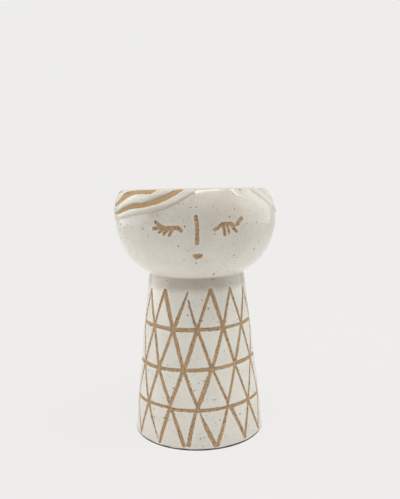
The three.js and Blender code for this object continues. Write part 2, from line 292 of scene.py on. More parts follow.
def draw_outline(piece, points):
    """Draws a chain of edges through points, from the one vertex that a mesh in edit mode has"""
    edges = len(points) - 1
    blocks = math.ceil(edges / MOST_CUTS)
    for _ in range(blocks):
        bpy.ops.mesh.extrude_region_move(TRANSFORM_OT_translate={"value": (0, 0, 1)})
    for block in range(blocks):
        cuts = edges * (block + 1) // blocks - edges * block // blocks - 1
        low, high = block - BLOCK_SLACK, block + 1 + BLOCK_SLACK
        select_only(piece, lambda v: low < v.co.z < high)
        bpy.ops.mesh.subdivide(number_cuts=cuts)
    mesh = bmesh.from_edit_mesh(piece.data)
    for vertex, point in zip(sorted(mesh.verts, key=lambda v: v.co.z), points):
        vertex.co = point
    bmesh.update_edit_mesh(piece.data)


def turn_on_wheel(name, outline, steps, closed=True):
    """A form turned round Z from an outline of radius and height"""
    start_clean()
    bpy.ops.mesh.primitive_plane_add(size=MM, location=(0, 0, 0))
    piece = name_piece(name)
    enter("EDIT")
    bpy.ops.mesh.select_mode(type="VERT")
    bpy.ops.mesh.select_all(action="SELECT")
    bpy.ops.mesh.merge(type="CENTER")
    points = [Vector((radius, 0, height)) * MM for radius, height in outline]
    draw_outline(piece, points)
    if closed:
        ends = (points[0], points[-1])
        select_only(piece, lambda v: min((v.co - end).length for end in ends) < AT_POINT)
        bpy.ops.mesh.edge_face_add()
    enter("OBJECT")
    apply_modifier(piece, "SCREW", axis="Z", angle=math.tau, screw_offset=0.0, steps=steps,
                   render_steps=steps, use_merge_vertices=True, merge_threshold=SAME_PLACE)
    face_outwards(merged=True)
    return piece


def face_outwards(merged=False):
    """Turns the active piece's faces outwards, after its doubles are merged where it has any"""
    enter("EDIT")
    bpy.ops.mesh.select_all(action="SELECT")
    if merged:
        bpy.ops.mesh.remove_doubles(threshold=SAME_PLACE)
    bpy.ops.mesh.normals_make_consistent(inside=False)
    enter("OBJECT")


def apply_modifier(piece, kind, **settings):
    pick(piece)
    bpy.ops.object.modifier_add(type=kind)
    modifier = piece.modifiers[-1]
    for name, value in settings.items():
        setattr(modifier, name, value)
    bpy.ops.object.modifier_apply(modifier=modifier.name)


def read_points(piece):
    """The vertices' places as rows of x, y and z, in metres"""
    flat = np.empty(len(piece.data.vertices) * 3)
    piece.data.vertices.foreach_get("co", flat)
    return flat.reshape(-1, 3)


def move_points(piece, points):
    piece.data.vertices.foreach_set("co", points.ravel())
    piece.data.update()


def places(piece):
    """Azimuth, radius and height of each vertex, in degrees and millimetres"""
    x, y, z = read_points(piece).T / MM
    return np.degrees(np.arctan2(x, -y)), np.hypot(x, y), z


def keep_values(piece, name, values):
    attribute = piece.data.attributes.new(name, "FLOAT", "POINT")
    attribute.data.foreach_set("value", np.asarray(values, np.float32))


def press_in(piece, shares, depth):
    """Presses a surface in along its normals, by a share of the depth at each vertex"""
    group = piece.vertex_groups.new(name="pressed")
    steps = np.rint(np.clip(shares, 0, 1) * PRESS_LEVELS).astype(int)
    for step in range(1, PRESS_LEVELS + 1):
        members = np.nonzero(steps == step)[0].tolist()
        if members:
            group.add(members, step / PRESS_LEVELS, "REPLACE")
    apply_modifier(piece, "DISPLACE", vertex_group="pressed", mid_level=0.0,
                   strength=-depth * MM, direction="NORMAL")
    piece.vertex_groups.clear()


def smoothstep(low, high, value):
    t = np.clip((np.asarray(value, float) - low) / (high - low), 0, 1)
    return t * t * (3 - 2 * t)


# How far below its widest line the head starts to lean, in millimetres
LEAN_START = 6


def lean_rim(piece, forms):
    """Leans the top of the head to the viewer's left, as the hand-built rim does"""
    points = read_points(piece)
    start = forms.widest - LEAN_START
    points[:, 0] -= forms.rim_lean * MM * smoothstep(start, forms.height, points[:, 2] / MM)
    move_points(piece, points)


def finish_piece(piece, material, node, crease=50):
    """Shades a piece, gives it its material and place in the part, and proves that it is closed"""
    pick(piece)
    bpy.ops.object.shade_smooth_by_angle(angle=math.radians(crease))
    piece.data.materials.clear()
    piece.data.materials.append(material)
    mesh = bmesh.new()
    mesh.from_mesh(piece.data)
    open_edges = sum(1 for edge in mesh.edges if len(edge.link_faces) != 2)
    volume = mesh.calc_volume(signed=True)
    mesh.free()
    if open_edges or volume <= 0:
        raise RuntimeError(f"{piece.name} isn't closed: {open_edges} open edges, volume {volume}")
    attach(piece, BODY)
    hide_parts(node)


# Drawn lines. A line is an array of azimuth, height and half width along it.

# Distances to a line are measured up to this one, in millimetres
GAP_REACH = 4.0
# No drawn surface has a smaller radius than this, in millimetres
LEAST_RADIUS = 35
# A line's side slopes down between these distances from its edge, in millimetres
LINE_SIDE = (0.25, -0.45)
LINE_POINTS = 9


def turned_by(azimuth, other):
    """Shortest turn from one azimuth to another, in degrees"""
    return (azimuth - other + 180) % 360 - 180


def line_gap(azimuth, along, radius, lines):
    """Distance in millimetres from each place to the nearest drawn line's edge, negative inside it"""
    gap = np.full(len(azimuth), GAP_REACH)
    degree = np.radians(radius)
    for line in lines:
        middle = line[len(line) // 2, 0]
        width = np.abs(turned_by(line[:, 0], middle)).max() + math.degrees(GAP_REACH / LEAST_RADIUS)
        beside = np.abs(turned_by(azimuth, middle)) < width
        low, high = line[:, 1].min() - GAP_REACH, line[:, 1].max() + GAP_REACH
        near = np.nonzero((along > low) & (along < high) & beside)[0]
        for start, end in zip(line[:-1], line[1:]):
            ax = turned_by(start[0], azimuth[near]) * degree[near]
            ay = start[1] - along[near]
            dx = (end[0] - start[0]) * degree[near]
            dy = end[1] - start[1]
            t = np.clip(-(ax * dx + ay * dy) / np.maximum(dx * dx + dy * dy, 1e-9), 0, 1)
            edge = np.hypot(ax + t * dx, ay + t * dy) - (start[2] + (end[2] - start[2]) * t)
            gap[near] = np.minimum(gap[near], edge)
    return gap


def hand_line(start, end, widths, bow=0.0):
    """A line drawn in one pull from start to end, whose width runs through the given ones"""
    t = np.linspace(0, 1, LINE_POINTS)
    azimuth = start[0] + (end[0] - start[0]) * t + bow * np.sin(math.pi * t)
    height = start[1] + (end[1] - start[1]) * t
    width = np.interp(t, np.linspace(0, 1, len(widths)), widths)
    return np.column_stack([azimuth, height, width / 2])


# The lattice as the photographed side shows it: where its lines meet, by level from the top, as
# azimuth and height. The drawing was done freehand, so no two meshes are alike.
LEVELS = [
    [(-64.4, 115.4), (-39.0, 116.2), (-11.8, 115.2), (14.0, 118.0), (38.8, 117.7), (65.2, 115.6)],
    [(-51.7, 89.2), (-26.4, 88.8), (-1.4, 89.0), (26.0, 89.0), (51.8, 89.4)],
    [(-65.6, 58.2), (-41.8, 58.5), (-14.9, 59.2), (11.9, 60.0), (36.7, 60.8), (63.4, 61.4)],
    [(-53.8, 30.0), (-26.9, 30.4), (-3.2, 30.0), (26.2, 30.6), (50.7, 30.4)],
    [(-64.4, 3.6), (-37.4, 3.4), (-12.8, 3.3), (13.3, 3.3), (42.0, 3.5), (65.4, 3.6)],
]
LATTICE_REPEATS = 14
LATTICE_SEED = 11
# Usual widths of the lines, and how much they vary
SLANT_WIDTH = 2.6
RING_WIDTH = 2.7
WIDTH_RANGE = (0.85, 1.15)
# How far the hand strays where no table says it: meeting points in azimuth and height, the middle
# of a slanted line in azimuth, and the ends of a ring's stretch in height
AZIMUTH_STRAY = 1.3
HEIGHT_STRAY = 0.5
BOW_STRAY = 0.5
RING_STRAY = 0.3

# Pulls of the brush whose width or ends stand out: level and place of the upper meeting point and
# lean of the line, with widths from top to bottom, and shifts of the upper and the lower end in
# azimuth and height where there are any
SLANTS = {
    (0, 0, 1): ((2.5, 3.0, 2.8),),
    (0, 1, -1): ((2.5, 2.1, 2.3), (-0.8, -0.6)),
    (0, 1, 1): ((3.9, 3.4, 2.9), (0.6, 0.0), (-0.3, 0)),
    (0, 2, -1): ((1.4, 2.6, 2.8), (1.0, 1.4), (0.4, 0)),
    (0, 2, 1): ((1.3, 1.8, 2.1), (1.8, -5.0)),
    (0, 3, -1): ((2.4, 2.1, 2.4), (-0.2, 0.0)),
    (0, 3, 1): ((2.9, 3.0, 2.4), (0.4, -0.2)),
    (0, 4, -1): ((1.9, 2.1, 2.4),),
    (0, 4, 1): ((1.9, 2.1, 2.1),),
    (1, 1, -1): ((2.4, 2.6, 2.5),),
    (1, 1, 1): ((2.8, 3.0, 2.8),),
    (1, 2, -1): ((3.0, 3.1, 2.9), (-0.3, 0), (0.5, 0)),
    (1, 2, 1): ((2.4, 2.4, 2.3), (0.4, 0), (-0.4, 0)),
    (1, 3, -1): ((2.3, 2.6, 2.5), (-0.4, 0), (0.4, 0)),
    (1, 3, 1): ((2.4, 2.5, 2.3), (0.3, 0)),
    (2, 1, -1): ((2.6, 2.6, 2.8),),
    (2, 1, 1): ((2.6, 2.9, 2.8), (0.3, 0), (-0.4, 3.0)),
    (2, 2, -1): ((2.8, 2.8, 2.8), (-0.4, 0), (-0.3, 3.0)),
    (2, 2, 1): ((2.3, 2.4, 2.4), (0.5, 0), (0.2, 4.5)),
    (2, 3, -1): ((2.5, 3.7, 3.0), (-0.3, 0), (0.6, 1.0)),
    (2, 3, 1): ((2.0, 2.0, 2.1), (0.4, 0), (0, 2.5)),
    (2, 4, -1): ((2.1, 2.3, 2.3), (-0.2, 0), (-0.6, 2.5)),
    (2, 4, 1): ((2.1, 2.1, 2.3), (0.2, 0)),
    (3, 0, 1): ((2.8, 1.8, 0.6), (0.6, -0.5), (-0.4, 0)),
    (3, 1, -1): ((2.6, 3.1, 2.3), (-0.6, 0), (0.4, 0)),
    (3, 1, 1): ((2.3, 2.9, 3.0), (0.6, 0), (-1.3, 0.5)),
    (3, 2, -1): ((2.3, 2.9, 3.2), (-0.3, 0), (2.7, 0.9)),
    (3, 2, 1): ((1.1, 3.4, 3.1), (3.3, -2.6), (-0.9, 0)),
    (3, 3, -1): ((2.1, 2.6, 3.1), (-0.9, 0), (1.0, 0.5)),
    (3, 3, 1): ((2.8, 3.0, 2.1), (2.2, -0.8)),
    (3, 4, -1): ((2.4, 2.5, 2.5), (0, 0), (-0.3, 0)),
}
# Widths of the rings' stretches, and how far each end lies off its meeting point
RINGS = {
    (1, 0): ((3.0, 3.2), 0.3, -0.3), (1, 1): ((3.2, 3.3), -0.2, 0.0), (1, 2): ((3.0, 2.6), 0.1, 0.0),
    (1, 3): ((2.4, 2.2), 0.1, 0.1), (2, 0): ((3.1, 2.9), 0.3, 0.0), (2, 1): ((2.7, 2.6), 0.0, 0.0),
    (2, 2): ((2.9, 3.1), 0.0, -0.2), (2, 3): ((2.7, 2.6), -0.3, 0.0), (2, 4): ((2.9, 3.2), 0.3, 0.2),
    (3, 0): ((2.5, 2.4), 0.3, 0.4), (3, 1): ((2.4, 2.5), -0.7, -0.3), (3, 2): ((2.6, 2.5), -0.4, -0.3),
    (3, 3): ((2.5, 2.9), -0.3, 0.2),
}


def whole_levels(rng):
    """The meeting points of each level, carried on round the back of the trunk"""
    whole = []
    for seen in LEVELS:
        missing = LATTICE_REPEATS - len(seen)
        (first, first_height), (last, last_height) = seen[0], seen[-1]
        step = (first + 360 - last) / (missing + 1)
        points = list(seen)
        for k in range(1, missing + 1):
            share = k / (missing + 1)
            height = last_height + (first_height - last_height) * share
            azimuth = last + step * k + rng.uniform(-AZIMUTH_STRAY, AZIMUTH_STRAY)
            points.append((azimuth, height + rng.uniform(-HEIGHT_STRAY, HEIGHT_STRAY)))
        whole.append(points)
    return whole


def lattice_lines():
    """All lines of the lattice: slanted pulls between levels, and rings along the middle ones"""
    rng = random.Random(LATTICE_SEED)
    levels = whole_levels(rng)
    lines = []
    for level in range(len(levels) - 1):
        upper, lower = levels[level], levels[level + 1]
        shift = 0 if level % 2 else -1
        for place, (azimuth, height) in enumerate(upper):
            for lean in (-1, 1):
                target = (place + shift + (lean + 1) // 2) % LATTICE_REPEATS
                wobble = [rng.uniform(*WIDTH_RANGE) * SLANT_WIDTH for _ in range(3)]
                bow = rng.uniform(-BOW_STRAY, BOW_STRAY)
                pull = SLANTS.get((level, place, lean), (wobble,))
                widths, head, foot = (*pull, (0, 0), (0, 0))[:3]
                turn = turned_by(lower[target][0], azimuth)
                start = (azimuth + head[0], height + head[1])
                end = (azimuth + turn + foot[0], lower[target][1] + foot[1])
                lines.append(hand_line(start, end, widths, bow))
    for level in (1, 2, 3):
        for place, (azimuth, height) in enumerate(levels[level]):
            after = levels[level][(place + 1) % LATTICE_REPEATS]
            wobble = [rng.uniform(*WIDTH_RANGE) * RING_WIDTH for _ in range(2)]
            offsets = [rng.uniform(-RING_STRAY, RING_STRAY) for _ in range(2)]
            widths, *offsets = RINGS.get((level, place), (wobble, *offsets))
            start = (azimuth, height + offsets[0])
            end = (azimuth + turned_by(after[0], azimuth), after[1] + offsets[1])
            lines.append(hand_line(start, end, widths))
    return lines


# The face. Round a place given by azimuth and height, each line runs through points of x to the
# viewer's right, y up and width, in millimetres.
EYE_HEIGHT = 165.5
EYE_AZIMUTH = 18.5
FACE = {
    (0.0, 164.4): [[(-0.5, 9.2, 2.6), (-0.2, 4.0, 2.8), (0.0, -1.5, 2.8), (-0.2, -9.5, 2.9)]],
    (0.0, 145.5): [[(-2.2, 0.5, 2.7), (2.2, 0.5, 2.7)], [(-1.5, -0.7, 3.0), (1.4, -0.7, 3.0)]],
    (-EYE_AZIMUTH, EYE_HEIGHT): [
        [(-9.4, 4.6, 2.5), (-6.1, 2.0, 2.8), (-3.5, 0.5, 2.7), (0.4, 0.5, 2.6), (4.4, 0.6, 2.7),
         (6.9, 0.4, 3.1), (9.0, -1.4, 2.9)],
        [(-5.5, 0.4, 2.7), (-11.4, -0.2, 2.6)],
        [(-3.1, 0.0, 2.4), (-7.0, -2.8, 2.0)],
        [(-0.2, -0.4, 2.5), (-3.7, -4.1, 2.2)],
        [(3.1, -0.4, 2.5), (0.4, -4.8, 2.2)],
    ],
    (EYE_AZIMUTH, EYE_HEIGHT): [
        [(-8.0, -1.3, 2.6), (-5.0, 0.7, 2.8), (-2.8, 2.4, 2.7), (0.6, 2.6, 2.8), (3.7, 2.4, 2.7),
         (5.6, 1.2, 2.5)],
        [(-2.2, 1.6, 2.2), (-0.4, -5.0, 2.2)],
        [(1.0, 1.2, 2.1), (2.8, -3.7, 1.8)],
        [(4.2, 1.0, 2.2), (8.5, -3.3, 2.2)],
        [(7.0, 0.3, 0.8), (9.0, 2.2, 2.9), (12.0, 5.6, 3.3)],
    ],
}


def face_lines(forms):
    """The face's lines as azimuth, length up the head's outline and half width"""
    lines = []
    for (azimuth, height), drawn in FACE.items():
        degree = math.radians(forms.head(height))
        for points in drawn:
            lines.append(np.array([
                (azimuth + x / degree, forms.along(height) + y, width / 2) for x, y, width in points
            ]))
    return lines


# Edges of the locks from the rim to the back of the head, lower edge first, as azimuth and drop
# below the rim in hundredths of the hair's height
LOCKS = {
    "left_hairline_lock": (
        [(2, 0), (-7, 21), (-19, 40), (-38, 56), (-66, 72), (-110, 88), (-150, 100), (-187, 100)],
        [(-7.5, 0), (-13.7, 13.5), (-24.3, 30.5), (-35, 39), (-47, 43.5), (-63, 55), (-100, 69),
         (-150, 83), (-187, 96)],
    ),
    "left_second_lock": (
        [(-13.5, 0), (-19, 10), (-27, 20), (-36, 29), (-45, 31), (-53, 38), (-66, 50), (-82, 58),
         (-110, 66), (-150, 75), (-172, 74)],
        [(-27.5, 0), (-32, 8), (-46, 9), (-54, 17), (-66, 33), (-80, 42), (-115, 51), (-150, 58),
         (-172, 69)],
    ),
    "left_third_lock": (
        [(-49, 0), (-54, 3), (-60, 7), (-65, 15), (-70, 27), (-79, 36), (-100, 42), (-130, 46),
         (-160, 50), (-188, 50)],
        [(-69, 0), (-74, 6), (-81, 12), (-92, 21), (-115, 29), (-140, 32), (-165, 35), (-188, 46)],
    ),
    "left_crown_lock": (
        [(-71, 0), (-76, 4), (-84, 9), (-100, 17), (-130, 24), (-155, 26), (-173, 25)],
        [(-86, 0), (-97, 2), (-110, 4), (-130, 6), (-150, 8), (-162, 10), (-173, 21)],
    ),
    "right_temple_lock": (
        [(24.8, 0), (26.2, 9), (28.2, 15.5), (31.5, 21.5), (35.9, 27.5), (40.5, 32.5), (46, 38),
         (53, 46.5), (63, 57)],
        [(41.5, 0), (45.5, 13.5), (50, 23), (57, 38.5), (64.5, 52)],
    ),
    "right_hairline_lock": (
        [(42.8, 0), (46.5, 10.5), (54, 27.5), (65.5, 49), (77, 62), (92, 73), (120, 88), (150, 99),
         (171, 99)],
        [(53, 0), (57.5, 4.5), (67, 20.5), (74.5, 32.5), (90, 51), (120, 69), (145, 79), (160, 85),
         (171, 95)],
    ),
    "right_second_lock": (
        [(54, 0), (58.5, 2), (67.5, 17.5), (75, 29.5), (84, 41), (95, 50), (120, 62), (150, 74),
         (186, 74)],
        [(80, 0), (86, 9), (95, 21), (108, 33), (128, 45), (155, 56), (186, 69)],
    ),
    "right_third_lock": (
        [(82, 0), (88, 8), (97, 19), (112, 32), (135, 42), (155, 49), (170, 48)],
        [(97, 0), (103, 6), (112, 13), (125, 21), (142, 28), (158, 35), (170, 44)],
    ),
    "right_crown_lock": (
        [(100, 0), (107, 5), (117, 11), (133, 18), (150, 24), (170, 26), (185, 24)],
        [(118, 0), (126, 2), (135, 4), (147, 6), (160, 8), (174, 12), (185, 20)],
    ),
}
SOFT_LOCK = "right_temple_lock"
# Where a lock starts below the rim, and how deep it sinks into the head, in millimetres
LOCK_TRIM = 0.6
LOCK_SINK = 0.5
# Powers that round a lock's section, and those of one that is flatter and softer
ROUNDING = (2.4, 0.45)
SOFTER_ROUNDING = {"right_hairline_lock_rolled": (2.2, 0.85)}
# Channels between neighbouring locks, where no glaze reached the clay
CHANNELS = [
    ("left_hairline_lock", "left_second_lock"), ("left_second_lock", "left_third_lock"),
    ("left_third_lock", "left_crown_lock"), ("right_hairline_lock", "right_second_lock"),
    ("right_second_lock", "right_third_lock"), ("right_third_lock", "right_crown_lock"),
]
CHANNEL_STOPS = 60
# How far a channel's clay reaches under the locks, in millimetres
CHANNEL_MARGIN = 0.1
# How far a channel runs on at its ends, as a share of its last stretch
RUN_ON = 0.6
# Glaze closes the channels beside the right temple and at the back, where the locks of both sides
# meet: the azimuths between which it does, and by how much, in millimetres
TEMPLE_CLOSING = ((100, 70), 6)
BACK_CLOSING = ((158, 180), 4)
# A place further round than this belongs to the end of a channel that came round the other side
OTHER_SIDE = -60
# Points of a smooth edge between two of the given ones
POINTS_PER_KNOT = 24


def lock_edge(points, stops):
    """Points at even stops along a smooth line through the given ones"""
    knots = np.array(points, float)
    knots = np.vstack([2 * knots[0] - knots[1], knots, 2 * knots[-1] - knots[-2]])
    dense = []
    for a, b, c, d in zip(knots, knots[1:], knots[2:], knots[3:]):
        t1 = math.sqrt(math.dist(a, b))
        t2 = t1 + math.sqrt(math.dist(b, c))
        t3 = t2 + math.sqrt(math.dist(c, d))
        t = np.linspace(t1, t2, POINTS_PER_KNOT, endpoint=False)[:, None]
        ab = a * (t1 - t) / t1 + b * t / t1
        bc = b * (t2 - t) / (t2 - t1) + c * (t - t1) / (t2 - t1)
        cd = c * (t3 - t) / (t3 - t2) + d * (t - t2) / (t3 - t2)
        abc = ab * (t2 - t) / t2 + bc * t / t2
        bcd = bc * (t3 - t) / (t3 - t1) + cd * (t - t1) / (t3 - t1)
        dense.append(abc * (t2 - t) / (t2 - t1) + bcd * (t - t1) / (t2 - t1))
    dense = np.vstack([*dense, knots[-2]])
    lengths = lengths_along(*dense.T)
    wanted = np.asarray(stops) * lengths[-1]
    return np.column_stack([np.interp(wanted, lengths, dense[:, k]) for k in (0, 1)])


def lock_height(forms, drop):
    return forms.height - LOCK_TRIM - forms.hair_height * drop / 100


def outline_gap(x, y, corners):
    """Distance from each place to a closed outline, negative inside it"""
    inside = np.zeros(len(x), bool)
    nearest = np.full(len(x), np.inf)
    for (ax, ay), (bx, by) in zip(corners, np.roll(corners, -1, axis=0)):
        crosses = (ay > y) != (by > y)
        inside ^= crosses & (x < ax + (bx - ax) * (y - ay) / (by - ay if by != ay else 1))
        dx, dy = bx - ax, by - ay
        t = np.clip(((x - ax) * dx + (y - ay) * dy) / max(dx * dx + dy * dy, 1e-9), 0, 1)
        nearest = np.minimum(nearest, np.hypot(x - ax - t * dx, y - ay - t * dy))
    return np.where(inside, -nearest, nearest)


def channel_gap(forms, azimuth, along, lower_lock, upper_lock):
    """Distance from each place to the bare channel between two locks"""
    stops = np.linspace(0, 1, CHANNEL_STOPS)
    below = lock_edge(LOCKS[lower_lock][1], stops)
    above = lock_edge(LOCKS[upper_lock][0], stops)
    side = 1 if below[-1, 0] > 0 else -1
    around = np.where(azimuth * side < OTHER_SIDE, azimuth + side * 360, azimuth)
    degree = math.radians(forms.head_radius)
    edges = [
        np.column_stack([edge[:, 0] * degree, forms.along(lock_height(forms, edge[:, 1]))])
        for edge in (below, above)
    ]
    # Both ends run on a little: over the lip, and under the locks of the other side
    edges = [np.vstack([edge[0] + (edge[0] - edge[1]) * RUN_ON, edge]) for edge in edges]
    corners = np.vstack([edges[0], edges[1][::-1]])
    return outline_gap(around * degree, along, corners)


# Materials. Lengths are in millimetres, and a range node's numbers are two values of what comes in
# and what those become, or else 0 and 1.


MATH, MIX, RANGE = "ShaderNodeMath", "ShaderNodeMix", "ShaderNodeMapRange"
NOISE, CELLS = "ShaderNodeTexNoise", "ShaderNodeTexVoronoi"
COLOUR = {"output": 2, "data_type": "RGBA"}
SMOOTH = {"interpolation_type": "SMOOTHSTEP"}

# Widths of the patterns in the glaze's thickness and specks, in its skin, in bare clay, and where
# the glaze ends
CLOUDS, MOTTLE, CROWDS = 16, 3.2, 30
WAVES, PEEL, GLOSS = 14, 2.5, 5
SAND, GRAINS = 0.9, 1.6
WANDER, WIPE = 1.4, 6
# What the patterns' own values become: shares of thin glaze, chances of a speck, and patches
CLOUD_SHARE, MOTTLE_SHARE = (0.35, 0.7, 0, 0.16), (0.35, 0.75, 0, 0.08)
CROWD_SHARE, PATCHES, UNEVEN = (0.35, 0.62, 0.55, 1), (0.38, 0.60), (0.3, 0.7)
# Factor and shift that turn a pattern into the wander of the glaze's edge
WANDER_REACH = (1.3, -0.60)
# Grains in bare clay by the distance from the glaze's edge, their own soft edge, and the share of
# their size that is left in the channels
GRAIN_CROWD, GRAIN_EDGE, CHANNEL_GRAINS = (-1.1, -0.1, 0.25, 0.62), (-0.12, 0.08, 0, 0.85), 0.85
# By the distance from that edge: bare clay, glaze stained by it, and glaze that rolled back,
# whose whiter band is partly a painted highlight on the bead
BARE_EDGE, STAINED, ROLLED_BACK_HIGHLIGHT = (0.14, -0.14), (0.9, 0, 0, 0.16), (2.2, 0.7, 0, 0.15)
# Crest and far end of the bead, from the same edge
BEAD_CREST, BEAD_END = 0.35, 0.9
# Relief of the waves and the orange peel in the glaze, of the sand, and of the bead beside a line
WAVE_RELIEF, PEEL_RELIEF, SAND_RELIEF, BEAD_RELIEF = 0.10, 0.012, 0.16, 0.09
GLAZE_ROUGHNESS, CLAY_ROUGHNESS, FOOT_ROUGHNESS = (0.12, 0.2), 0.82, 0.85

# Heights between which the glaze is painted darker in the thin glaze's colour, and the share of
# it at the upper one: painted shade. On the top of the trunk it is the painted shadow of the head
# that hangs over it. On the head and hair it paints the upper face darker towards the rim.
PAINTED_HEAD_SHADOW = (114, 121, 0.9)
PAINTED_RIM_SHADE = (144, 178, 0.58)
# Top and bottom of the dark band where the foot was wiped clean of glaze. Its dark colour is
# partly painted shade where the foot meets the table
FOOT_BAND = (2.3, 1.9)
# Glaze pooled below and above the corner under the head, whitened also as a painted highlight of
# floor light along the head's lower edge: heights from the corner, and share
POOL_HIGHLIGHT_BELOW, POOL_HIGHLIGHT_ABOVE, POOL_HIGHLIGHT_SHARE = (-2.0, 0.5), (15, 1.5), 0.6
# Glaze drawn off the edge of the lip: depths below the top, and share
LIP_THIN, LIP_THINNED = (0.9, 0.2), 0.4

# Iron grains in the glaze as spacing, largest radius, soft edge, how much rarer the large ones
# are, and strength: dust, grains that show through, and a few that burnt through
SPECKS = [(1.8, 0.46, 0.30, 1.4, 0.38), (3.8, 0.68, 0.25, 1.1, 0.75), (6.2, 0.85, 0.25, 0.8, 0.95)]


def add_node(tree, kind, inputs=(), output=0, **settings):
    """Adds a node with its settings, links or sets its inputs, and gives one of its outputs"""
    node = tree.nodes.new(kind)
    for name, value in settings.items():
        setattr(node, name, value)
    for socket, value in inputs.items() if isinstance(inputs, dict) else enumerate(inputs):
        if isinstance(value, bpy.types.NodeSocket):
            tree.links.new(value, node.inputs[socket])
        else:
            node.inputs[socket].default_value = value
    return node.outputs[output] if node.outputs else None


def new_material(name):
    """An empty node material, and the call that adds a node to it"""
    material = bpy.data.materials.new(name)
    material.use_nodes = True
    material.node_tree.nodes.clear()
    return material, functools.partial(add_node, material.node_tree)


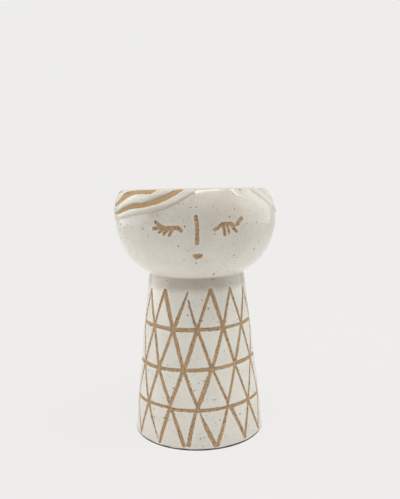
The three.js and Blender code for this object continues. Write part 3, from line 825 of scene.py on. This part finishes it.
def glazed_stoneware(name, finish, glaze, forms, painted_shade=None, lines=False, foot=False):
    """Stoneware dipped in a glossy white glaze.

    The glaze is opaque and glassy, so it gives crisp highlights on a slightly uneven skin. It is
    mottled where it lies thinner, whiter where it pooled, and iron in the clay burns through it as
    brown specks. Between two given heights the thin glaze's colour is laid on as painted shade.
    The white of pooled glaze round the corner under the head, on the soft lock's lower edge and
    beside the lines is partly a painted highlight. Where a line was drawn in wax the glaze drew
    back, and left sandy, matt clay bare. The bare foot's dark colour is partly painted shade.
    """
    material, add = new_material(name)
    place = add("ShaderNodeTexCoord", output="Object")
    up = add("ShaderNodeSeparateXYZ", (place,), output="Z")

    def wide(millimetres, **more):
        """Inputs of a pattern that is so many millimetres wide"""
        return {"Vector": place, "Scale": 1 / MM / millimetres, **more}

    # Clouds of thinner glaze, and a finer break-up
    clouds = add(NOISE, wide(CLOUDS, Detail=3))
    clouds = add(RANGE, (clouds, *CLOUD_SHARE), **SMOOTH)
    mottle = add(NOISE, wide(MOTTLE))
    mottle = add(RANGE, (mottle, *MOTTLE_SHARE), **SMOOTH)
    thin_and_shade = add(MATH, (clouds, mottle), operation="ADD")
    # Painted shade: more of the thin glaze's colour between two heights, for the head's shadow on the
    # trunk and the darker upper face
    if painted_shade:
        low, high, share = painted_shade
        shade_share = add(RANGE, (up, low * MM, high * MM, 0, share), **SMOOTH)
        thin_and_shade = add(MATH, (thin_and_shade, shade_share), operation="ADD")
    # Pooled glaze round the corner under the head, whiter also as a painted highlight of floor light
    seam = add(MATH, (up, -forms.trunk_height * MM), operation="ADD")
    below = add(RANGE, (seam, *(height * MM for height in POOL_HIGHLIGHT_BELOW)), **SMOOTH)
    above = add(RANGE, (seam, *(height * MM for height in POOL_HIGHLIGHT_ABOVE), 0, POOL_HIGHLIGHT_SHARE), **SMOOTH)
    pool_and_highlight = add(MATH, (below, above), operation="MULTIPLY")
    # Thick glaze along the soft lock's lower edge, whiter also as a painted highlight on its rise
    thick_and_highlight = add("ShaderNodeAttribute", attribute_name="thick_glaze_highlight", output="Fac")
    lip = ((forms.height - depth) * MM for depth in LIP_THIN)
    lip = add(RANGE, (up, *lip, 0, LIP_THINNED), **SMOOTH)
    skin = glaze
    for share, tone in (
        (thin_and_shade, finish.thin_glaze_and_shade), (pool_and_highlight, finish.pooled_glaze_and_highlight), (thick_and_highlight, finish.pooled_glaze_and_highlight),
        (lip, finish.lip_clay),
    ):
        skin = add(MIX, {0: share, 6: skin, 7: tone}, **COLOUR)

    # Iron specks, in crowds
    crowd = add(NOISE, wide(CROWDS, Detail=1))
    crowd = add(RANGE, (crowd, *CROWD_SHARE), **SMOOTH)
    for spacing, radius, soft, rarity, strength in SPECKS:
        distance = add(CELLS, wide(spacing), output="Distance")
        chance = add("ShaderNodeSeparateColor", (distance.node.outputs["Color"],))
        chance = add(MATH, (chance, rarity), operation="POWER")
        size = add(MATH, (chance, crowd), operation="MULTIPLY")
        inside = add(MATH, (size, radius / spacing), operation="MULTIPLY")
        inside = add(MATH, (inside, distance), operation="SUBTRACT")
        share = add(RANGE, (inside, -soft / spacing / 2, soft / spacing / 2, 0, strength))
        skin = add(MIX, {0: share, 6: skin, 7: finish.speck}, **COLOUR)

    # Skin of the glaze: slow waves and orange peel
    waves = add(NOISE, wide(WAVES, Detail=1))
    peel = add(NOISE, wide(PEEL, Detail=1))
    peel = add(MATH, (peel, PEEL_RELIEF), operation="MULTIPLY")
    relief = add(MATH, (waves, WAVE_RELIEF, peel), operation="MULTIPLY_ADD")
    uneven = add(NOISE, wide(GLOSS))
    roughness = add(RANGE, (uneven, *UNEVEN, *GLAZE_ROUGHNESS))

    if lines or foot:
        # Bare clay: sand, in patches of two tones
        sand = add(NOISE, wide(SAND, Detail=3, Roughness=0.65))
        patches = add(RANGE, (sand, *PATCHES))
        matt_relief = add(MATH, (sand, SAND_RELIEF), operation="MULTIPLY")
    if lines:
        gap = add("ShaderNodeAttribute", attribute_name="line_gap", output="Fac")
        channel = add("ShaderNodeAttribute", attribute_name="channel", output="Fac")
        # The glaze's edge wanders by a third of a millimetre
        wander = add(NOISE, wide(WANDER, Roughness=0.6))
        wander = add(MATH, (wander, *WANDER_REACH), operation="MULTIPLY_ADD")
        gap = add(MATH, (gap, wander), operation="ADD")
        # Grains crowd along the edges of a line, and are rare in the channels
        grain = add(CELLS, wide(GRAINS), output="Distance")
        grain_size = add("ShaderNodeSeparateColor", (grain.node.outputs["Color"],))
        edge = add(RANGE, (gap, *GRAIN_CROWD))
        rare = add(RANGE, (channel, 0, 1, 1, CHANNEL_GRAINS))
        edge = add(MATH, (edge, rare), operation="MULTIPLY")
        inside = add(MATH, (grain_size, edge), operation="MULTIPLY")
        inside = add(MATH, (inside, grain), operation="SUBTRACT")
        grains = add(RANGE, (inside, *GRAIN_EDGE))
        clay = finish.dark_clay
        for share, tone in (
            (patches, finish.clay), (channel, finish.channel_clay), (grains, finish.speck),
        ):
            clay = add(MIX, {0: share, 6: clay, 7: tone}, **COLOUR)
        # The glaze ends in a rolled bead beside the line, over a stain of clay. The bead's whiter band
        # is partly a painted highlight
        bare = add(RANGE, (gap, *BARE_EDGE), **SMOOTH)
        stain = add(RANGE, (gap, *STAINED))
        rolled = add(RANGE, (gap, *ROLLED_BACK_HIGHLIGHT), **SMOOTH)
        for share, tone in ((rolled, finish.pooled_glaze_and_highlight), (stain, finish.clay), (bare, clay)):
            skin = add(MIX, {0: share, 6: skin, 7: tone}, **COLOUR)
        bead_in = add(RANGE, (gap, 0, BEAD_CREST, 0, BEAD_RELIEF), **SMOOTH)
        bead_out = add(RANGE, (gap, BEAD_END, BEAD_CREST), **SMOOTH)
        relief = add(MATH, (bead_in, bead_out, relief), operation="MULTIPLY_ADD")
        relief = add(MIX, {0: bare, 2: relief, 3: matt_relief})
        roughness = add(MIX, {0: bare, 2: roughness, 3: CLAY_ROUGHNESS})
    if foot:
        wobble = add(NOISE, wide(WIPE))
        height = add(MATH, (wobble, MM, up), operation="MULTIPLY_ADD")
        bare = add(RANGE, (height, FOOT_BAND[0] * MM, FOOT_BAND[1] * MM))
        # Bare foot, darker partly as painted shade where it meets the table
        foot_dark_and_shade = add(MIX, {0: patches, 6: finish.foot_clay_and_shade, 7: finish.speck}, **COLOUR)
        skin = add(MIX, {0: bare, 6: skin, 7: foot_dark_and_shade}, **COLOUR)
        relief = add(MIX, {0: bare, 2: relief, 3: matt_relief})
        roughness = add(MIX, {0: bare, 2: roughness, 3: FOOT_ROUGHNESS})

    bump = add("ShaderNodeBump", {"Height": relief, "Strength": 1, "Distance": MM})
    shader = add("ShaderNodeBsdfPrincipled", {
        "Base Color": skin, "Roughness": roughness, "Normal": bump, "IOR": 1.5,
    })
    add("ShaderNodeOutputMaterial", {"Surface": shader})
    return material


# Operators, one for each piece or group of like pieces

# Steps of the turned forms, and stations and corners of a lock
TRUNK_STEPS, HEAD_STEPS, FLOOR_STEPS = 520, 580, 96
LOCK_STATIONS, LOCK_SECTION = 130, 30
# Spacing of the points of an outline, in millimetres: close where lines are drawn
TRUNK_SPACING, HEAD_SPACING, SEAM_SPACING = 0.8, 0.68, 0.3
BORE_SPACING, BOWL_SPACING = 8, 2.6
# Bevel of the foot's inner edge, and how far the floor runs into the wall, in millimetres
FOOT_BEVEL = 0.4
OVERLAP = 0.15
# Height of the top of the lip in which outside and inside aren't told apart, in millimetres
LIP_TOP = 0.2


class HEADVASE_OT_trunk(bpy.types.Operator):
    """Turn the trunk and draw its lattice"""

    bl_idname = "headvase.trunk"
    bl_label = "Trunk"

    def execute(self, context):
        forms = Forms(context.scene.head_vase_sizes)
        ring_bore = forms.bore(forms.ledge_height) - forms.ledge_width
        foot_centre = (forms.trunk(forms.foot_round) - forms.foot_round, forms.foot_round)
        seam = forms.trunk_height - SEAM_REACH
        outline = [
            (ring_bore + FOOT_BEVEL, 0),
            *arc(foot_centre, forms.foot_round, -90, 0, 5),
            *wall_line(forms.trunk, forms.foot_round, seam, TRUNK_SPACING)[1:],
            *wall_line(forms.filled_trunk, seam, forms.trunk_height, SEAM_SPACING)[1:],
            *wall_line(forms.bore, forms.trunk_height, forms.ledge_height, BORE_SPACING),
            (ring_bore, forms.ledge_height),
            (ring_bore, FOOT_BEVEL),
        ]
        piece = turn_on_wheel("trunk_drawn_lattice", outline, TRUNK_STEPS)
        azimuth, radius, height = places(piece)
        gap = line_gap(azimuth, height, radius, lattice_lines())
        outside = radius > np.array([forms.trunk(h) for h in height]) - forms.wall / 2
        gap = np.where(outside, gap, GAP_REACH)
        keep_values(piece, "line_gap", gap)
        press_in(piece, smoothstep(*LINE_SIDE, gap), forms.line_depth)
        finish = context.scene.head_vase_finish
        material = glazed_stoneware("white_dipped_stoneware_trunk", finish, finish.glaze, forms,
                                    PAINTED_HEAD_SHADOW, lines=True, foot=True)
        finish_piece(piece, material, "trunk")
        return {"FINISHED"}


class HEADVASE_OT_floor_disc(bpy.types.Operator):
    """Turn the floor inside the foot, dished and run up to the wall in a cove"""

    bl_idname = "headvase.floor_disc"
    bl_label = "Floor"

    def execute(self, context):
        forms = Forms(context.scene.head_vase_sizes)
        low, top = forms.ledge_height, forms.ledge_height + forms.floor_thickness
        cove = 2.4
        wall = forms.bore(top) + OVERLAP
        centre = (wall - cove, top + cove)
        outline = [
            (0, low), (forms.bore(low) - 2 * OVERLAP, low), (wall, top), (wall, top + cove),
            *arc(centre, cove, 0, -90, 6)[1:],
            # Dished by about half a millimetre towards the middle
            (wall * 0.6, top - 0.35), (wall * 0.25, top - 0.6), (0, top - 0.65),
        ]
        piece = turn_on_wheel("floor_dished_disc", outline, FLOOR_STEPS, closed=False)
        finish = context.scene.head_vase_finish
        material = glazed_stoneware("white_glaze_inside_floor", finish, finish.inner_glaze, forms)
        finish_piece(piece, material, "floor_disc", crease=40)
        return {"FINISHED"}


class HEADVASE_OT_head_bowl(bpy.types.Operator):
    """Turn the head, draw its face and leave the channels between the locks bare"""

    bl_idname = "headvase.head_bowl"
    bl_label = "Head"

    def execute(self, context):
        forms = Forms(context.scene.head_vase_sizes)
        inner_end = 2 * forms.lip_centre[1] - forms.wall_end
        inner_cheek = forms.cheek - forms.wall
        throat_share = forms.throat / (forms.head_radius - forms.wall)
        throat_top = forms.widest - inner_cheek * forms.superellipse(throat_share)

        def inside(height):
            return forms.head(height, forms.wall)

        lip = arc(forms.lip_centre, forms.lip, forms.lip_start, forms.lip_start + 180, 20)
        seam = forms.trunk_height + SEAM_REACH
        outline = [
            *wall_line(forms.filled_head, forms.trunk_height, seam, SEAM_SPACING),
            *wall_line(forms.head, seam, forms.wall_end, HEAD_SPACING)[1:],
            *lip[1:-1],
            *wall_line(inside, inner_end, throat_top, BOWL_SPACING),
            (forms.throat, forms.trunk_height),
        ]
        piece = turn_on_wheel("head_bowl_drawn_face", outline, HEAD_STEPS)
        azimuth, radius, height = places(piece)
        along = forms.along(height)
        middle = np.array([forms.head(h, forms.wall / 2) for h in np.minimum(height, forms.wall_end)])
        outside = (radius > middle) | (height > forms.height - LIP_TOP)
        drawn = line_gap(azimuth, along, radius, face_lines(forms))
        gap = drawn.copy()
        upper = np.nonzero(outside & (height > forms.height - forms.hair_height - GAP_REACH))[0]
        turn, length_up = azimuth[upper], along[upper]
        for lower_lock, upper_lock in CHANNELS:
            channel = channel_gap(forms, turn, length_up, lower_lock, upper_lock) - CHANNEL_MARGIN
            if lower_lock.startswith("right"):
                channel += smoothstep(*TEMPLE_CLOSING[0], turn % 360) * TEMPLE_CLOSING[1]
            channel += smoothstep(*BACK_CLOSING[0], np.abs(turn)) * BACK_CLOSING[1]
            gap[upper] = np.minimum(gap[upper], channel)
        gap = np.where(outside, gap, GAP_REACH)
        drawn = np.where(outside, drawn, GAP_REACH)
        keep_values(piece, "line_gap", gap)
        keep_values(piece, "channel", np.where(gap < drawn, 1.0, 0.0))
        press_in(piece, smoothstep(*LINE_SIDE, drawn), forms.line_depth)
        lean_rim(piece, forms)
        finish = context.scene.head_vase_finish
        material = glazed_stoneware("white_dipped_stoneware_head", finish, finish.glaze, forms,
                                    PAINTED_RIM_SHADE, lines=True)
        finish_piece(piece, material, "head_bowl")
        return {"FINISHED"}


class HEADVASE_OT_hair(bpy.types.Operator):
    """Lay the locks of hair round the head"""

    bl_idname = "headvase.hair"
    bl_label = "Hair"

    def execute(self, context):
        forms = Forms(context.scene.head_vase_sizes)
        finish = context.scene.head_vase_finish
        material = glazed_stoneware("white_dipped_stoneware_hair", finish, finish.glaze, forms,
                                    PAINTED_RIM_SHADE)
        for name, (lower, upper) in LOCKS.items():
            piece = lay_lock(f"{name}_rolled", forms, lower, upper, soft=name == SOFT_LOCK)
            lean_rim(piece, forms)
            finish_piece(piece, material, name, crease=75)
        return {"FINISHED"}


# The locks' ends run out to nothing over this height below the rim, in millimetres, and thin out
# by a share over the last tenth of their length
RIM_RUN_OUT = 0.8
TAIL_START, TAIL_THINNING = 0.9, 0.75
# The glaze evened the locks out towards the sides and the back: azimuths and share
EVENED_FROM, EVENED_TO, EVENED = 45, 75, 0.4
# What smearing left of the soft lock's height, and the share of thick glaze along its lower
# edge, whose white is also a painted highlight
SMEARED, EDGE_GLAZE_HIGHLIGHT = 0.6, 0.6


def lay_lock(name, forms, lower, upper, soft):
    """A strip of clay laid on the head between two edges: a rod, parted along its length and bent
    to its place, thick in the middle and pressed down at its edges and ends"""
    start_clean()
    bpy.ops.mesh.primitive_cylinder_add(vertices=LOCK_SECTION, radius=1, depth=1, location=(0, 0, 0))
    piece = name_piece(name)
    enter("EDIT")
    bpy.ops.mesh.select_mode(type="EDGE")
    mesh = bmesh.from_edit_mesh(piece.data)
    for part in (*mesh.faces, *mesh.verts, *mesh.edges):
        part.select = False
    for edge in mesh.edges:
        edge.select = abs(edge.verts[0].co.z - edge.verts[1].co.z) > 0.5
    bmesh.update_edit_mesh(piece.data)
    bpy.ops.mesh.subdivide(number_cuts=LOCK_STATIONS - 1)
    enter("OBJECT")

    x, y, z = read_points(piece).T
    station = np.rint((z + 0.5) * LOCK_STATIONS).astype(int)
    turn = np.rint(np.arctan2(y, x) / math.tau * LOCK_SECTION).astype(int) % LOCK_SECTION
    stops = np.linspace(0, 1, LOCK_STATIONS + 1)
    low, high = lock_edge(lower, stops)[station], lock_edge(upper, stops)[station]
    # Two thirds of the section go over the top of the strip, the rest lies under it
    top = LOCK_SECTION * 2 // 3
    over = turn <= top
    across = np.where(over, 0.5 - 0.5 * np.cos(math.pi * turn / top),
                      1 - (turn - top) / (LOCK_SECTION - top))
    spot = low + (high - low) * across[:, None]
    height = lock_height(forms, spot[:, 1])
    along = stops[station]
    ends = smoothstep(0, RIM_RUN_OUT, forms.height - LIP_TOP - height)
    if soft:
        # Smeared over the temple: a low swell that runs out into the face below and at its end,
        # with glaze thick in the corner along its lower edge, whitened as a painted highlight
        crown = smoothstep(0.03, 0.25, across) * (1 - 0.8 * smoothstep(0.4, 1, across))
        fade = 1 - smoothstep(0.3, 0.85, along)
        rise = forms.soft_relief * SMEARED * fade * ends
        edge = smoothstep(0, 0.06, across)
        bank = edge * (across < 1) * (LOCK_SINK + 0.06 - 0.12 * along)
        edge_highlight = edge * (1 - smoothstep(0.12, 0.4, across))
        keep_values(piece, "thick_glaze_highlight", EDGE_GLAZE_HIGHLIGHT * edge_highlight * (1 - smoothstep(0.6, 1, along)))
        lift = np.where(over, bank + rise * crown, 0) - LOCK_SINK
    else:
        round_power, flank_power = SOFTER_ROUNDING.get(name, ROUNDING)
        crown = (1 - np.abs(2 * across - 1) ** round_power) ** flank_power
        ends = ends * (1 - TAIL_THINNING * smoothstep(TAIL_START, 1.0, along))
        evened = EVENED * smoothstep(EVENED_FROM, EVENED_TO, np.abs(spot[:, 0]))
        relief = forms.lock_relief * (1 - evened)
        lift = np.where(over, (relief + LOCK_SINK) * crown * ends - LOCK_SINK, -LOCK_SINK)
    radius = np.array([forms.skin(h) for h in height]) + lift
    angle = np.radians(spot[:, 0])
    bent = np.column_stack([radius * np.sin(angle), -radius * np.cos(angle), height]) * MM
    move_points(piece, bent)
    face_outwards()
    return piece


class HEADVASE_OT_stage(bpy.types.Operator):
    """Set the floor, backdrop, lamps and camera"""

    bl_idname = "headvase.stage"
    bl_label = "Stage"

    def execute(self, context):
        stage = context.scene.head_vase_stage
        lay_floor(stage)
        light_world(context.scene, stage)
        hang_lamps(stage)
        place_camera(context.scene)
        context.scene.view_settings.view_transform = "Standard"
        return {"FINISHED"}


# Radius of the floor round the vase, in metres, and how many times wider its rim is laid
FLOOR_RADIUS, FLOOR_SPREAD = 0.4, 30
# Distances from the vase, in metres, between which the floor turns into plain backdrop. Near the
# vase it glows a little less, and what the glow's share leaves is paper that takes the shadow.
FLOOR_NEAR, FLOOR_FAR = 0.35, 1.3
NEAR_GLOW = 0.985
NEAR_SHARE = 0.94


def lay_floor(stage):
    """A round pale floor, wide enough that its edge is never seen"""
    start_clean()
    bpy.ops.mesh.primitive_circle_add(vertices=64, radius=FLOOR_RADIUS, fill_type="NGON",
                                      location=(0, 0, 0))
    floor = name_piece("studio_floor")
    enter("EDIT")
    bpy.ops.mesh.select_all(action="SELECT")
    bpy.ops.mesh.inset(thickness=FLOOR_RADIUS / 4)
    bpy.ops.mesh.select_all(action="SELECT")
    bpy.ops.mesh.region_to_loop()
    bpy.ops.mesh.extrude_region_move(TRANSFORM_OT_translate={"value": (0, 0, 0)})
    bpy.ops.transform.resize(value=(FLOOR_SPREAD, FLOOR_SPREAD, 1))
    enter("OBJECT")
    material, add = new_material("matt_paper_floor")
    # Matt paper, lit from behind so evenly that only a trace of the vase's shadow is left on it
    place = add("ShaderNodeTexCoord", output="Object")
    away = add("ShaderNodeVectorMath", (place,), operation="LENGTH", output="Value")
    strength = add(RANGE, (away, FLOOR_NEAR, FLOOR_FAR, NEAR_GLOW, 1), **SMOOTH)
    paper = add("ShaderNodeBsdfDiffuse", {"Color": stage.backdrop, "Roughness": 1})
    glow = add("ShaderNodeEmission", {"Color": stage.backdrop, "Strength": strength})
    share = add(RANGE, (away, FLOOR_NEAR, FLOOR_FAR, NEAR_SHARE, 1), **SMOOTH)
    share = add(MATH, (share, seen_directly(add)), operation="MULTIPLY")
    mixed = add("ShaderNodeMixShader", (share, paper, glow))
    add("ShaderNodeOutputMaterial", {"Surface": mixed})
    floor.data.materials.append(material)


def seen_directly(add):
    """1 for what the camera sees, straight or in gloss or glass, and 0 for light on things"""
    path = add("ShaderNodeLightPath").node.outputs
    seen = add(MATH, (path["Is Glossy Ray"], path["Is Transmission Ray"]), operation="MAXIMUM")
    return add(MATH, (seen, path["Is Camera Ray"]), operation="MAXIMUM")


# The ceiling leans towards the viewer, so that some of its light reaches under the head. Its edge
# is soft between two distances from the middle, as cosines.
CEILING_DIRECTION = (0, -0.22, 0.975)
CEILING_EDGE = (0.58, 0.8)


def light_world(scene, stage):
    """The backdrop's colour where it is seen, and on things the light of a wide pale ceiling"""
    world = bpy.data.worlds.new("studio_backdrop")
    world.use_nodes = True
    world.node_tree.nodes.clear()
    add = functools.partial(add_node, world.node_tree)
    direction = add("ShaderNodeTexCoord", output="Generated")
    up = add("ShaderNodeVectorMath", (direction, CEILING_DIRECTION), operation="DOT_PRODUCT",
             output="Value")
    strength = add(RANGE, (up, *CEILING_EDGE, stage.room_light, stage.ceiling_light))
    light = add("ShaderNodeBackground", {"Color": stage.backdrop, "Strength": strength})
    backdrop = add("ShaderNodeBackground", {"Color": stage.backdrop, "Strength": 1})
    mixed = add("ShaderNodeMixShader", (seen_directly(add), light, backdrop))
    add("ShaderNodeOutputWorld", {"Surface": mixed})
    scene.world = world


def hang_lamps(stage):
    """Wide soft boxes to both sides, a little behind the vase, and a small one high over the face"""
    middle = Vector((0, 0, 0.1))
    lamps = [
        ("left_softbox", (-0.97, 0.2, 0.42), (1.4, 1.0), stage.left_power),
        ("right_softbox", (0.98, 0.15, 0.42), (1.2, 1.0), stage.right_power),
        ("front_softbox", (0.22, -0.24, 1.13), (0.7, 0.3), stage.front_power),
    ]
    for name, spot, size, watts in lamps:
        start_clean()
        bpy.ops.object.light_add(type="AREA", location=spot)
        lamp = bpy.context.object
        lamp.name = name
        lamp.rotation_euler = (middle - Vector(spot)).to_track_quat("-Z", "Y").to_euler()
        lamp.data.shape = "RECTANGLE"
        lamp.data.size, lamp.data.size_y = size
        lamp.data.energy = watts


# The photograph's view: place of the lens and focal length in millimetres, and tilt in degrees
CAMERA_DISTANCE = 445.2
CAMERA_HEIGHT = 194.3
CAMERA_SHIFT_RIGHT = 3.1
CAMERA_AZIMUTH = -1.3
CAMERA_PITCH = 6.46
CAMERA_ROLL = -1.0
FOCAL_LENGTH = 40.44
SENSOR_WIDTH = 36


def place_camera(scene):
    start_clean()
    bpy.ops.object.camera_add(location=(0, 0, 0))
    camera = bpy.context.object
    camera.name = "camera"
    turn = Matrix.Rotation(math.radians(CAMERA_AZIMUTH), 4, "Z")
    spot = turn @ Vector((CAMERA_SHIFT_RIGHT, -CAMERA_DISTANCE, CAMERA_HEIGHT)) * MM
    tilt = Matrix.Rotation(math.radians(90 - CAMERA_PITCH), 4, "X")
    roll = Matrix.Rotation(math.radians(CAMERA_ROLL), 4, "Z")
    camera.matrix_world = Matrix.Translation(spot) @ turn @ tilt @ roll
    camera.data.lens = FOCAL_LENGTH
    camera.data.sensor_width = SENSOR_WIDTH
    camera.data.clip_start = 10 * MM
    scene.camera = camera


class HEADVASE_PT_panel(bpy.types.Panel):
    """Sizes, colours and building steps of the vase"""

    bl_label = "Head Vase"
    bl_idname = "HEADVASE_PT_panel"
    bl_space_type = "VIEW_3D"
    bl_region_type = "UI"
    bl_category = "Head Vase"

    def draw(self, context):
        layout = self.layout
        for group in GROUPS:
            values = getattr(context.scene, group)
            box = layout.box()
            box.label(text=group.rsplit("_", 1)[1].capitalize())
            for name in type(values).__annotations__:
                box.prop(values, name)
        for operator in OPERATORS:
            layout.operator(operator.bl_idname)


GROUPS = {
    "head_vase_sizes": HeadVaseSizes,
    "head_vase_finish": HeadVaseFinish,
    "head_vase_stage": HeadVaseStage,
}
OPERATORS = (
    HEADVASE_OT_trunk, HEADVASE_OT_floor_disc, HEADVASE_OT_head_bowl, HEADVASE_OT_hair,
    HEADVASE_OT_stage,
)


def register():
    for item in (*GROUPS.values(), *OPERATORS, HEADVASE_PT_panel):
        bpy.utils.register_class(item)
    for name, group in GROUPS.items():
        setattr(bpy.types.Scene, name, PointerProperty(type=group))


def unregister():
    for name in GROUPS:
        delattr(bpy.types.Scene, name)
    for item in reversed((*GROUPS.values(), *OPERATORS, HEADVASE_PT_panel)):
        bpy.utils.unregister_class(item)


def main():
    register()
    bpy.ops.headvase.trunk()
    bpy.ops.headvase.floor_disc()
    bpy.ops.headvase.head_bowl()
    bpy.ops.headvase.hair()
    bpy.ops.headvase.stage()
    bpy.context.view_layer.update()


if __name__ == "__main__":
    main()
